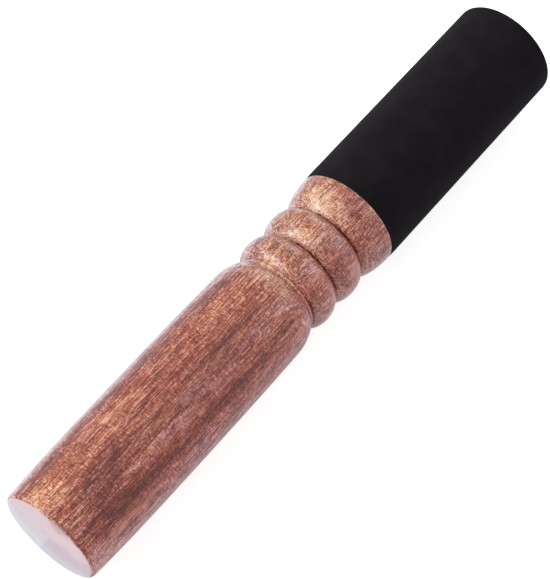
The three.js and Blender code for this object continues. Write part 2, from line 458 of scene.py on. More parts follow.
    # Patches of tone: wood figure, with painted highlights, painted rim sheen and painted groove
    # shade among them, each marked below.
    figures: tuple[FigureAndLightPatch, ...] = (
        FigureAndLightPatch(101, 0, 22, 400, 0.15), FigureAndLightPatch(2, 0, 6, 400, 0.10),
        # The patch at 45 mm, -80 degrees is painted sheen: a lighter lavender band along the far
        # rim.
        FigureAndLightPatch(45, -80, 90, 16, 0.20, tint=-1.2, blush=-1.3),
        FigureAndLightPatch(45, -65, 90, 5, -0.14, tint=-0.8), FigureAndLightPatch(4, -52, 6, 12, -0.18),
        FigureAndLightPatch(12, -41, 6, 12, -0.06), FigureAndLightPatch(2, -26, 5, 30, 0.08),
        # The patch at 4 mm, -36 degrees is a painted highlight: a paler golden spot on the grip
        # near the butt.
        FigureAndLightPatch(78, -62, 18, 20, tint=-0.4, blush=-1.2), FigureAndLightPatch(4, -36, 9, 20, 0.16, tint=0.50),
        FigureAndLightPatch(9, -52, 14, 9, -0.08), FigureAndLightPatch(28, -30, 10, 16, 0.08, tint=0.25),
        FigureAndLightPatch(62, -34, 22, 15, 0.04, tint=0.15), FigureAndLightPatch(42, -32, 30, 7, -0.06),
        # The patch at 87 mm, -22 degrees is a painted highlight on the first bead's butt-facing
        # side.
        FigureAndLightPatch(70, -21, 9, 6, 0.12), FigureAndLightPatch(87, -22, 1.2, 18, 0.16), FigureAndLightPatch(20, -23, 7, 6, 0.10),
        FigureAndLightPatch(82.2, -20, 4.4, 34, 0.12, tint=0.7), FigureAndLightPatch(81, -40, 4, 20, tint=-0.4),
        FigureAndLightPatch(85.8, 28, 0.9, 34, 0.05, blush=0.5), FigureAndLightPatch(86, 0, 1.0, 400, 0.10),
        # The patch at 81.8 mm, -56 degrees is a painted highlight on the far side of the shoulder.
        FigureAndLightPatch(81.8, -56, 2.2, 14, 0.18), FigureAndLightPatch(77.5, -57, 3, 12, -0.10),
        FigureAndLightPatch(81.3, 43, 1.8, 12, 0.12), FigureAndLightPatch(83, -14, 2, 12, -0.08),
        # The patch at 96 mm, -48 degrees is a painted highlight on the second bead's butt-facing
        # side.
        FigureAndLightPatch(94.2, -50, 0.8, 25, -0.18), FigureAndLightPatch(96, -48, 0.7, 22, 0.20),
        FigureAndLightPatch(97.2, -50, 1.0, 20, -0.18), FigureAndLightPatch(84, 21, 1.8, 13, -0.13),
        # The patch at 107 mm, -41 degrees is a painted highlight on the collar.
        FigureAndLightPatch(0, 10, 3, 400, 0.05), FigureAndLightPatch(107, -41, 2, 8, 0.12), FigureAndLightPatch(111, -52, 4, 9, 0.10),
        FigureAndLightPatch(111, 13, 3, 12, 0.08), FigureAndLightPatch(84, -46, 2, 9, -0.09), FigureAndLightPatch(78, -23, 3, 6, -0.10),
        FigureAndLightPatch(78, 66, 4, 8, 0.09), FigureAndLightPatch(78, -68, 4, 8, 0.09),
        FigureAndLightPatch(45, -38, 90, 26, tint=0.26, blush=0.05), FigureAndLightPatch(75, 32, 7, 40, 0.06),
        FigureAndLightPatch(82, 30, 4, 40, 0.06), FigureAndLightPatch(81, 44, 5, 10, 0.08),
        # The patch at 82 mm, -62 degrees is a painted highlight on the far side of the shoulder.
        FigureAndLightPatch(82, -62, 4, 16, 0.28, tint=-0.6), FigureAndLightPatch(22, -59, 40, 6, -0.18, tint=-0.35),
        FigureAndLightPatch(66, -55, 34, 8, -0.14, tint=-0.45, blush=-0.4), FigureAndLightPatch(33, -37, 9, 9, 0.12),
        FigureAndLightPatch(21, -68, 8, 5, 0.10), FigureAndLightPatch(11, -58, 5, 8, -0.12), FigureAndLightPatch(12, -23, 4, 6, -0.12),
        FigureAndLightPatch(80, 50, 4, 15, 0.09), FigureAndLightPatch(42, 13, 4, 6, 0.12), FigureAndLightPatch(52, -28, 9, 9, -0.10),
        FigureAndLightPatch(66, -23, 5, 7, -0.10), FigureAndLightPatch(92, -5, 13, 9, blush=-0.3),
        FigureAndLightPatch(18, -19, 13, 5, -0.22, tint=-0.3), FigureAndLightPatch(39, -20, 12, 4, -0.12, tint=-0.2),
        FigureAndLightPatch(24, -7, 13, 4, -0.20, tint=-0.2), FigureAndLightPatch(61, -6, 20, 4, -0.26, tint=-0.25),
        FigureAndLightPatch(40, -6, 12, 4, -0.20, tint=-0.2), FigureAndLightPatch(58, -42, 12, 9, -0.14),
        FigureAndLightPatch(77, -22, 4, 10, -0.16), FigureAndLightPatch(13, -6, 11, 11, -0.20, tint=-0.5),
        FigureAndLightPatch(27, 14, 10, 6, 0.14), FigureAndLightPatch(12, 24, 12, 14, -0.26), FigureAndLightPatch(18, 8, 14, 8, -0.16),
        FigureAndLightPatch(21, 33, 16, 7, -0.14), FigureAndLightPatch(44, 10, 18, 8, -0.06, tint=-0.6),
        FigureAndLightPatch(66, 10, 22, 9, -0.02, tint=-0.5), FigureAndLightPatch(48, 15, 90, 9, 0.10),
        FigureAndLightPatch(44, 34, 34, 7, -0.26), FigureAndLightPatch(64, 33, 22, 5, -0.12),
        FigureAndLightPatch(46, 32, 90, 24, blush=1.8), FigureAndLightPatch(52, 30, 64, 9, tint=0.30),
        FigureAndLightPatch(70, 14, 60, 7, tint=0.24), FigureAndLightPatch(16, 27, 14, 9, blush=0.8),
        FigureAndLightPatch(40, 49, 110, 8, 0.15, tint=-0.2, blush=0.7), FigureAndLightPatch(16, 50, 10, 8, 0.14),
        FigureAndLightPatch(3, 66, 9, 14, 0.22), FigureAndLightPatch(45, 57, 60, 3, -0.04, tint=-0.3),
        # The patch at 40 mm, 67 degrees is painted sheen: a lighter rosy mauve band along the near
        # rim.
        FigureAndLightPatch(40, 67, 110, 14, 0.18, tint=-0.55, blush=1.0), FigureAndLightPatch(100, -52, 22, 34, blush=-1.2),
        # Both patches on the next line are painted highlights, on the ring and on the first bead's
        # butt-facing side.
        FigureAndLightPatch(86, -30, 1.2, 50, 0.26), FigureAndLightPatch(87.8, -24, 1.5, 24, 0.16),
        FigureAndLightPatch(91.5, 8, 4, 10, -0.02, tint=-0.5), FigureAndLightPatch(91.5, -6, 4, 4, -0.16, tint=-0.3),
        # The patch at 94.6 mm, 0 degrees is painted shade on the first bead's slope into the
        # second groove.
        FigureAndLightPatch(92, -26, 2.5, 22, -0.14, tint=0.3), FigureAndLightPatch(94.6, 0, 1.2, 80, -0.12),
        # The patch at 97.4 mm, -22 degrees is a painted highlight; the one at 98 mm, 36 degrees is
        # a painted shadow that the first bead casts on the second.
        FigureAndLightPatch(97.4, -22, 2.0, 24, 0.18), FigureAndLightPatch(98, 36, 2.4, 34, -0.20),
        # The patch at 98.6 mm, -14 degrees is a painted highlight on the second bead.
        FigureAndLightPatch(101, 10, 4, 12, -0.06, tint=-0.35), FigureAndLightPatch(98.6, -14, 2, 18, 0.10),
        # The patch at 104.8 mm, 0 degrees is painted shade on the second bead's slope into the
        # third groove.
        FigureAndLightPatch(102.5, -26, 2.5, 20, -0.14, tint=0.3), FigureAndLightPatch(104.8, 0, 1.2, 80, -0.12),
        # The patch at 109 mm, -26 degrees is a painted highlight on the collar's butt-facing side.
        FigureAndLightPatch(107.3, 45, 1.8, 26, -0.10), FigureAndLightPatch(109, -26, 3.8, 30, 0.22, tint=0.2),
        FigureAndLightPatch(110.3, 8, 1.8, 16, -0.26), FigureAndLightPatch(113, -2, 3, 30, -0.10, tint=-0.3),
        # The patch at 111 mm, -41 degrees is a painted highlight on the collar.
        FigureAndLightPatch(111.5, 66, 3, 10, -0.20), FigureAndLightPatch(111, -41, 2.5, 12, 0.16),
        FigureAndLightPatch(105.2, -42, 1.6, 13, 0.22), FigureAndLightPatch(97, -59, 1.8, 9, -0.14),
        FigureAndLightPatch(103.5, 66, 4, 9, -0.12), FigureAndLightPatch(103, 22, 3, 18, -0.10),
        # The patch at 105.6 mm, 4 degrees is painted shade in the third groove.
        FigureAndLightPatch(105.6, 4, 1.0, 30, -0.12), FigureAndLightPatch(109, 28, 5, 12, -0.08),
    )

    def place(self, graph: Graph) -> Socket:
        """Place in millimetres, measured from the butt and from the axis."""
        shift = (-self.butt_place / MM, 0.0, -self.axis_height / MM)
        return graph.stretched(graph.coordinates(), (MM, MM, MM), shift)

    def sawn(self, graph: Graph, place: Socket) -> Socket:
        """Place along the rod, across the growth rings and along them."""
        return graph.combine(graph.parts(place)[0], graph.dot(place, self.far_side),
                             graph.dot(place, self.crest))

    def drifted(self, graph: Graph, place: Socket) -> Socket:
        """Place pushed sideways by a slow noise, so that the grain wanders.

        Args:
            graph: The material's tree.
            place: Place in millimetres.

        Returns:
            The pushed place.
        """
        noise = self.drift.noise(graph, place).node
        push = graph.vector("SUBTRACT", noise.outputs["Color"], (0.5, 0.5, 0.5))
        reach = (0.0, self.drift.strength, self.drift.strength)
        return graph.vector("ADD", place, graph.vector("MULTIPLY", push, reach))

    def unrolled(self, graph: Graph, place: Socket) -> Socket:
        """Distance from the butt in millimetres and angle round the axis in degrees.

        Args:
            graph: The material's tree.
            place: Place in millimetres.

        Returns:
            The two as X and Y, drawn out and made ragged along the grain.
        """
        across = graph.times(graph.dot(place, self.far_side), -1.0)
        turn = graph.math("ARCTAN2", across, graph.dot(place, self.crest))
        along = graph.parts(place)[0]
        wander = graph.times(self.wander.level(graph, place),
                             graph.remap(along, *self.wander_reach), along)
        ragged = graph.times(self.ragged.noise(graph, place), self.ragged.strength,
                             -0.5 * self.ragged.strength)
        return graph.combine(wander, graph.times(turn, 180 / math.pi, ragged))

    def patches(self, graph: Graph, unrolled: Socket) -> dict[str, object]:
        """Sums of the patches' tone, tint and blush at an unrolled place, by name; the painted
        highlights, sheen and shade are summed with the wood figure.

        Args:
            graph: The material's tree.
            unrolled: Distance and angle on the unrolled surface.

        Returns:
            The three sums by name.
        """
        sums: dict[str, object] = {"tone": 0.0, "tint": 0.0, "blush": 0.0}
        for figure in self.figures:
            scale = (1 / figure.length, 1 / figure.width, 0.0)
            shift = (-figure.place / figure.length, -figure.angle / figure.width, 0.0)
            near = graph.vector("MULTIPLY_ADD", unrolled, scale, shift)
            distance = graph.vector("LENGTH", near, output="Value")
            weight = graph.remap(distance, self.figure_rim, self.figure_core, smooth=True)
            for name in sums:
                if getattr(figure, name):
                    sums[name] = graph.times(weight, getattr(figure, name), sums[name])
        return sums

    def grain(self, graph: Graph, drifted: Socket, hairs: Socket, marks: Socket,
              patches: Socket) -> Socket:
        """Tone of the wood: the patches' tone, painted highlights and shade included, with every
        grain layer on it.

        Args:
            graph: The material's tree.
            drifted: Sawn place with its drift.
            hairs: Level of the hairs.
            marks: Level of the lathe marks.
            patches: Sum of the patches' tone, painted highlights and shade included.

        Returns:
            The tone, as a place in the ramp of tones.
        """
        crisp = graph.times(hairs, self.hairs.strength)
        crisp = self.specks.onto(graph, drifted, crisp)
        crisp = self.dashes.onto(graph, drifted, crisp)
        clear = self.clarity.onto(graph, drifted, 1.0)
        total = graph.times(crisp, clear, graph.add(patches, self.middle_tone))
        cut = graph.times(marks, graph.remap(clear, *self.mark_depths))
        total = graph.times(cut, self.marks.strength, total)
        for layer in (self.bands, self.blotches, self.streaks):
            total = layer.onto(graph, drifted, total)
        edge = graph.math("ABSOLUTE", self.lines.level(graph, drifted))
        return graph.times(graph.remap(edge, self.line_width, 0.0), -self.lines.strength, total)

    def stains(self, graph: Graph, place: Socket, angle: Socket) -> Socket:
        """Tone of the dark, broken lines in the grooves and along the rim of the butt: partly dirt
        and partly painted shade, weaker on the lit far side.

        Args:
            graph: The material's tree.
            place: Place in millimetres.
            angle: Angle round the axis in degrees.

        Returns:
            The tone.
        """
        along = graph.parts(place)[0]
        total: object = 0.0
        for groove, tone in self.grooves:
            away = graph.math("ABSOLUTE", graph.minus(along, groove))
            total = graph.add(total, graph.remap(away, self.groove_reach, 0.0, 0.0, tone))
        # Painted shade: the lines fade to a fifth of their tone towards the lit far side.
        total = graph.times(total, graph.remap(angle, *self.groove_facing))
        broken = self.breaks.noise(graph, place)
        return graph.times(total, graph.remap(broken, *self.break_depths))

    def cast(self, graph: Graph, colour: Socket, tint: Socket, blush: Socket) -> Socket:
        """Colour turned to gold or mauve by the tint and to rose or olive by the blush.

        Args:
            graph: The material's tree.
            colour: The wood's colour.
            tint: Gold above 0, mauve below.
            blush: Rose above 0, olive below.

        Returns:
            The turned colour.
        """
        for amount, full, tone in ((tint, -1.0, self.mauve_cast), (tint, 1.0, self.gold_cast),
                                   (blush, 1.0, self.rosy_cast), (blush, -1.0, self.olive_cast)):
            turned = graph.blend(1.0, colour, tone, "MULTIPLY")
            colour = graph.blend(graph.remap(amount, 0.0, full), colour, turned)
        return colour

    def holes(self, graph: Graph, drifted: Socket) -> Socket:
        """Weight of all the pores, which stand in clusters.

        Args:
            graph: The material's tree.
            drifted: Sawn place with its drift.

        Returns:
            The weight.
        """
        fine = graph.times(self.fine_pores.weight(graph, drifted), self.fine_pore_weight)
        pores = graph.math("MAXIMUM", self.coarse_pores.weight(graph, drifted), fine)
        return graph.times(graph.remap(self.clusters.level(graph, drifted), *self.crowding), pores)

    def butt_face(self, graph: Graph, place: Socket, colour: Socket) -> Socket:
        """Colour with the butt's end grain painted pale, rosy to grey across the rings: a painted
        glare of the white room on the face.

        Args:
            graph: The material's tree.
            place: Place in millimetres.
            colour: Colour of the rest of the wood.

        Returns:
            The colour.
        """
        is_end = graph.remap(graph.parts(place)[0], self.end_depth, self.end_depth * 0.5)
        bow = graph.dot(place, self.far_side)
        bowed = graph.times(graph.squared(graph.math("ABSOLUTE", bow)), self.end_bow,
                            graph.dot(place, self.crest))
        ring = self.end_waver.onto(graph, place, bowed)
        # Painted glare: the end grain takes this pale ramp in place of the wood's own brown.
        pale = graph.ramp(graph.remap(ring, -self.end_reach, self.end_reach), self.end_tones)
        pale.node.color_ramp.interpolation = "EASE"
        ringed = self.end_rings.noise(graph, graph.combine(0.0, ring, bow))
        shade = graph.cube(graph.remap(ringed, *self.end_shades))
        return graph.blend(is_end, colour, graph.blend(1.0, pale, shade, "MULTIPLY"))

    def varnish(self, graph: Graph, along: Socket, angle: Socket) -> Socket:
        """Weight of the varnish, which has run thicker down the far side of the rod.

        Args:
            graph: The material's tree.
            along: Distance from the butt in millimetres.
            angle: Angle round the axis in degrees.

        Returns:
            The weight.
        """
        even = graph.math("MINIMUM", graph.remap(angle, *self.far_coat),
                          graph.remap(angle, *self.near_coat))
        turned = graph.add(even, graph.remap(along, *self.bead_coat))
        return graph.times(turned, graph.math("LESS_THAN", along, self.bare_place))

    def build(self) -> bpy.types.Material:
        """Make the material.

        Returns:
            The material.
        """
        material, graph = new_material("varnished_wood")
        place = self.place(graph)
        unrolled = self.unrolled(graph, place)
        along, angle = graph.parts(place)[0], graph.parts(unrolled)[1]
        drifted = self.drifted(graph, self.sawn(graph, place))
        hairs = self.hairs.level(graph, drifted)
        marks = self.marks.level(graph, place)
        sums = self.patches(graph, unrolled)
        total = self.grain(graph, drifted, hairs, marks, sums["tone"])
        total = graph.add(self.stains(graph, place, angle), total)
        tint = self.casts.onto(graph, drifted, sums["tint"])
        tint = self.fine_casts.onto(graph, drifted, tint)
        colour = self.cast(graph, graph.ramp(total, self.tones), tint, sums["blush"])
        holes = self.holes(graph, drifted)
        colour = graph.blend(graph.times(holes, self.pore_weight), colour, self.pore)
        height = graph.minus(graph.add(hairs, marks), holes)
        shader = graph.node("ShaderNodeBsdfPrincipled", {
            "Base Color": self.butt_face(graph, place, colour),
            "Roughness": graph.times(hairs, self.hair_roughness, self.roughness),
            "Normal": graph.bump(height, self.relief_strength, self.relief),
            "Specular IOR Level": self.specular,
            "Coat Weight": self.varnish(graph, along, angle),
            "Coat Roughness": self.coat_roughness, "Coat IOR": self.coat_index,
            "Sheen Weight": self.sheen, "Sheen Roughness": self.sheen_roughness,
            "Sheen Tint": self.sheen_tint})
        close_material(graph, shader)
        return material


@dataclass(frozen=True)
class NappedSuede:
    """Black suede with a short, soft nap, whose height is in millimetres."""

    ground: Colour = linear(18, 15, 19)
    brushed: Colour = linear(25, 22, 26)
    mottle: GrainLayer = GrainLayer((6, 6, 6), (0, 0, 0), 4.0, roughness=0.6)
    mottle_ends: tuple[float, float] = (0.35, 0.65)
    nap: GrainLayer = GrainLayer((0.22, 0.22, 0.22), (0, 0, 0), 2.0, roughness=0.7)
    nap_height: float = 0.12
    nap_strength: float = 0.6
    roughness: float = 0.95
    specular: float = 0.08
    sheen: float = 0.010
    sheen_roughness: float = 0.6

    def build(self) -> bpy.types.Material:
        """Make the material.

        Returns:
            The material.
        """
        material, graph = new_material("napped_suede")
        place = graph.scaled(graph.coordinates(), 1 / MM)
        mottled = graph.remap(self.mottle.noise(graph, place), *self.mottle_ends)
        nap = self.nap.noise(graph, place)
        shader = graph.node("ShaderNodeBsdfPrincipled", {
            "Base Color": graph.blend(mottled, self.ground, self.brushed),
            "Roughness": self.roughness,
            "Normal": graph.bump(nap, self.nap_strength, self.nap_height),
            "Specular IOR Level": self.specular, "Sheen Weight": self.sheen,
            "Sheen Roughness": self.sheen_roughness})
        close_material(graph, shader)
        return material


@dataclass(frozen=True)
class DriedGlue:
    """Amber film of dried contact glue, with thicker blots."""

    film: Colour = linear(120, 88, 48)
    thick: Colour = linear(78, 52, 28)
    blots: GrainLayer = GrainLayer((1.4, 1.4, 1.4), (0, 0, 0), 3.0)
    blot_ends: tuple[float, float] = (0.3, 0.7)
    roughness: float = 0.4

    def build(self) -> bpy.types.Material:
        """Make the material.

        Returns:
            The material.
        """
        material, graph = new_material("dried_glue")
        place = graph.scaled(graph.coordinates(), 1 / MM)
        blots = graph.remap(self.blots.noise(graph, place), *self.blot_ends)
        colour = graph.blend(blots, self.film, self.thick)
        shader = graph.node("ShaderNodeBsdfPrincipled",
                            {"Base Color": colour, "Roughness": self.roughness})
        close_material(graph, shader)
        return material


@dataclass(frozen=True)
class PaleTable:
    """White table that shows as plain white and keeps a soft contact shadow."""

    albedo: Colour = (0.8, 0.8, 0.8, 1.0)
    lift: float = 0.72

    def build(self) -> bpy.types.Material:
        """Make the material.

        Returns:
            The material.
        """
        material, graph = new_material("pale_table")
        path = graph.node("ShaderNodeLightPath")
        diffuse = graph.node("ShaderNodeBsdfDiffuse", {"Color": self.albedo})
        glow = graph.node("ShaderNodeEmission", {"Color": WHITE, "Strength": self.lift})
        seen = graph.node("ShaderNodeAddShader", {0: diffuse.outputs[0], 1: glow.outputs[0]})
        camera = graph.node("ShaderNodeMixShader", {
            0: path.outputs["Is Camera Ray"], 1: diffuse.outputs[0], 2: seen.outputs[0]})
        white = graph.node("ShaderNodeEmission", {"Color": WHITE, "Strength": 1.0})
        mirrored = graph.math("MAXIMUM", path.outputs["Is Glossy Ray"],
                              path.outputs["Is Transmission Ray"])
        shader = graph.node("ShaderNodeMixShader", {
            0: mirrored, 1: camera.outputs[0], 2: white.outputs[0]})
        close_material(graph, shader)
        return material


def new_piece(name: str, vertices: list, edges: list, faces: list) -> bpy.types.Object:
    """Make a mesh object at the origin.

    Args:
        name: Name of the object and its mesh.
        vertices: Points in metres.
        edges: Pairs of point indices.
        faces: Lists of point indices.

    Returns:
        The object, linked to the scene.
    """
    mesh = bpy.data.meshes.new(name)
    mesh.from_pydata(vertices, edges, faces)
    made = bpy.data.objects.new(name, mesh)
    bpy.context.scene.collection.objects.link(made)
    return made


def new_outline(name: str, line: Line) -> bpy.types.Object:
    """Make a chain of points from places along X and radii, which stand along Z."""
    points = [(place, 0.0, radius) for place, radius in line]
    return new_piece(name, points, [(index, index + 1) for index in range(len(line) - 1)], [])


def new_form(name: str, inputs: dict[str, str]) -> tuple[bpy.types.NodeTree, Graph, dict]:
    """Start a Geometry Nodes tree.

    Args:
        name: Name of the tree.
        inputs: Names and kinds of the inputs that follow the geometry.

    Returns:
        The tree, its graph and the outputs of its input node by name.
    """
    tree = bpy.data.node_groups.new(name, "GeometryNodeTree")
    tree.interface.new_socket("Geometry", in_out="OUTPUT", socket_type="NodeSocketGeometry")
    for label, kind in {"Geometry": "Geometry", **inputs}.items():
        tree.interface.new_socket(label, in_out="INPUT", socket_type=f"NodeSocket{kind}")
    graph = Graph(tree)
    entry = graph.node("NodeGroupInput")
    return tree, graph, {socket.name: socket for socket in entry.outputs if socket.name}


def close_form(graph: Graph, geometry: Socket, material: Socket) -> None:
    """End a Geometry Nodes tree with realized instances, smooth shading and the material.

    Args:
        graph: The tree's graph.
        geometry: The finished geometry.
        material: The material to set.
    """
    real = graph.node("GeometryNodeRealizeInstances", {0: geometry})
    shaded = graph.node("GeometryNodeSetShadeSmooth", {
        "Geometry": real.outputs[0], "Shade Smooth": True})
    dressed = graph.node("GeometryNodeSetMaterial", {
        "Geometry": shaded.outputs[0], "Material": material})
    graph.node("NodeGroupOutput", {0: dressed.outputs[0]})


def formed(start: bpy.types.Object, tree: bpy.types.NodeTree, values: dict) -> bpy.types.Object:
    """Run a Geometry Nodes tree on an object and keep the result as a plain mesh.

    Args:
        start: The object that the tree starts from. It is left out of the scene afterwards.
        tree: The Geometry Nodes tree.
        values: Values of the tree's inputs by name.

    Returns:
        A new object with the plain mesh.
    """
    modifier = start.modifiers.new(tree.name, "NODES")
    modifier.node_group = tree
    for item in tree.interface.items_tree:
        if item.item_type == "SOCKET" and item.in_out == "INPUT" and item.name in values:
            modifier[item.identifier] = values[item.name]
    evaluated = start.evaluated_get(bpy.context.evaluated_depsgraph_get())
    mesh = bpy.data.meshes.new_from_object(evaluated)
    name = start.name
    start.modifiers.remove(modifier)
    bpy.data.objects.remove(start)
    mesh.name = name
    made = bpy.data.objects.new(name, mesh)
    bpy.context.scene.collection.objects.link(made)
    return made


def inputs_of(piece: object) -> dict[str, object]:
    """Values of a piece's fields, by the names of a tree's inputs that they are meant for."""
    return {name.replace("_", " ").title(): value for name, value in vars(piece).items()}


def turning_form() -> bpy.types.NodeTree:
    """Build the tree that turns a profile round the X axis.

    Returns:
        The Geometry Nodes tree. Its profile is a chain of points, each a place along X and a
        radius along Z.
    """
    tree, graph, given = new_form("turned_form", {
        "Steps Around": "Int", "Axis Height": "Float", "Unevenness": "Float",
        "Unevenness Length": "Float", "Merge Distance": "Float", "Seed": "Float",
        "Finish": "Material"})
    count = graph.node("GeometryNodeAttributeDomainSize", {0: given["Geometry"]}).outputs[0]
    sheet = graph.node("GeometryNodeMeshGrid", {
        "Size X": 1.0, "Size Y": 1.0, "Vertices X": count,
        "Vertices Y": graph.add(given["Steps Around"], 1.0)})
    where = graph.parts(graph.position())
    ring = graph.math("ROUND", graph.times(graph.add(where[0], 0.5), graph.minus(count, 1.0)))
    turn = graph.times(graph.add(where[1], 0.5), 2 * math.pi)
    point = graph.node("GeometryNodeSampleIndex", {
        "Geometry": given["Geometry"], "Value": graph.position(), "Index": ring},
        data_type="FLOAT_VECTOR")
    flat = graph.parts(point.outputs[0])
    outward = graph.combine(0.0, graph.math("SINE", turn), graph.math("COSINE", turn))
    on_axis = graph.combine(flat[0], 0.0, given["Axis Height"])
    turned = graph.node("GeometryNodeSetPosition", {
        "Geometry": sheet.outputs[0],
        "Position": graph.vector("ADD", on_axis, graph.scaled(outward, flat[2]))})
    merged = graph.node("GeometryNodeMergeByDistance", {
        "Geometry": turned.outputs[0], "Distance": given["Merge Distance"]})
    spot = graph.vector("DIVIDE", graph.position(), graph.cube(given["Unevenness Length"]))
    spot = graph.vector("ADD", spot, graph.cube(given["Seed"]))
    rough = graph.times(graph.minus(graph.noise(spot, detail=2.0), 0.5), given["Unevenness"])
    now = graph.parts(graph.position())
    radial = graph.vector("NORMALIZE", graph.combine(
        0.0, now[1], graph.minus(now[2], given["Axis Height"])))
    uneven = graph.node("GeometryNodeSetPosition", {
        "Geometry": merged.outputs[0], "Offset": graph.scaled(radial, rough)})
    close_form(graph, uneven.outputs[0], given["Finish"])
    return tree


def winding_form() -> bpy.types.NodeTree:
    """Build the tree that winds a flat strip once round the X axis.

    Returns:
        The Geometry Nodes tree. Its strip starts as a block of even steps, gets rounded outer
        edges and a slightly uneven face, and is bent until its long edges meet at the seam.
    """
    tree, graph, given = new_form("wound_form", {
        "Start": "Float", "Length": "Float", "Inner Radius": "Float", "Thickness": "Float",
        "Seam Width": "Float", "Seam Angle": "Float", "Edge Radius": "Float",
        "Edge Steps": "Int", "Steps Along": "Int", "Steps Around": "Int",
        "Unevenness": "Float", "Unevenness Length": "Float", "Front Press": "Float",
        "Front Length": "Float", "Axis Height": "Float", "Finish": "Material"})
    edge, edge_steps = given["Edge Radius"], given["Edge Steps"]
    points_through = 4
    block = graph.node("GeometryNodeMeshCube", {
        "Size": (1, 1, 1), "Vertices X": graph.add(given["Steps Along"], 1.0),
        "Vertices Y": graph.add(given["Steps Around"], 1.0), "Vertices Z": points_through})
    where = graph.parts(graph.position())
    outer = graph.add(given["Inner Radius"], given["Thickness"])
    sweep = graph.minus(2 * math.pi, graph.over(given["Seam Width"], outer))
    width = graph.times(outer, sweep)

    def spaced(share: Socket, steps: Socket, size: Socket) -> Socket:
        """Place along a side of the strip, with its first and last steps close together.

        Args:
            share: Place in the block, -0.5 to 0.5.
            steps: Steps along the side.
            size: Length of the side.

        Returns:
            The place in metres.
        """
        index = graph.times(graph.add(share, 0.5), steps)
        back = graph.minus(steps, index)
        near = graph.math("MINIMUM", index, back)
        inner_share = graph.over(graph.minus(near, edge_steps),
                                 graph.times(edge_steps, -2.0, steps))
        straight = graph.times(inner_share, graph.times(edge, -2.0, size), edge)
        turn = graph.times(graph.over(near, edge_steps), math.pi / 2)
        rounded = graph.times(edge, graph.minus(1.0, graph.math("COSINE", turn)))
        in_edge = graph.math("LESS_THAN", near, edge_steps)
        distance = graph.choose(in_edge, rounded, straight)
        far_half = graph.math("LESS_THAN", back, index)
        return graph.choose(far_half, graph.minus(size, distance), distance)

    def into_edge(place: Socket, size: Socket) -> Socket:
        """How far a place reaches into the rounded edge at either end of a side."""
        near = graph.math("MINIMUM", place, graph.minus(size, place))
        return graph.positive(graph.minus(edge, near))

    along = spaced(where[0], given["Steps Along"], given["Length"])
    across = spaced(where[1], given["Steps Around"], width)
    squares = graph.add(graph.squared(into_edge(along, given["Length"])),
                        graph.squared(into_edge(across, width)))
    rise = graph.math("SQRT", graph.positive(graph.minus(graph.squared(edge), squares)))
    drop = graph.minus(edge, rise)
    spot = graph.vector("DIVIDE", graph.combine(along, across, 0.0),
                        graph.cube(given["Unevenness Length"]))
    uneven = graph.times(graph.minus(graph.noise(spot, detail=3.0), 0.5), given["Unevenness"])
    front = graph.positive(graph.minus(1.0, graph.over(along, given["Front Length"])))
    pressed = graph.times(given["Front Press"], graph.squared(front))
    height = graph.add(graph.minus(given["Thickness"], drop), uneven)
    level = graph.times(graph.add(where[2], 0.5), graph.minus(height, pressed))
    radius = graph.add(given["Inner Radius"], level)
    half_seam = graph.over(graph.over(given["Seam Width"], 2.0), outer)
    angle = graph.add(graph.over(across, outer), graph.add(given["Seam Angle"], half_seam))
    sideways = graph.times(radius, graph.math("COSINE", angle))
    upward = graph.times(radius, graph.math("SINE", angle), given["Axis Height"])
    bent = graph.combine(graph.add(given["Start"], along), sideways, graph.positive(upward))
    wound = graph.node("GeometryNodeSetPosition", {"Geometry": block.outputs[0], "Position": bent})
    close_form(graph, wound.outputs[0], given["Finish"])
    return tree


def shares(steps: int, first: int = 0) -> list[float]:
    """Even shares of a stretch up to 1, from the first step asked for."""
    return [step / steps for step in range(first, steps + 1)]


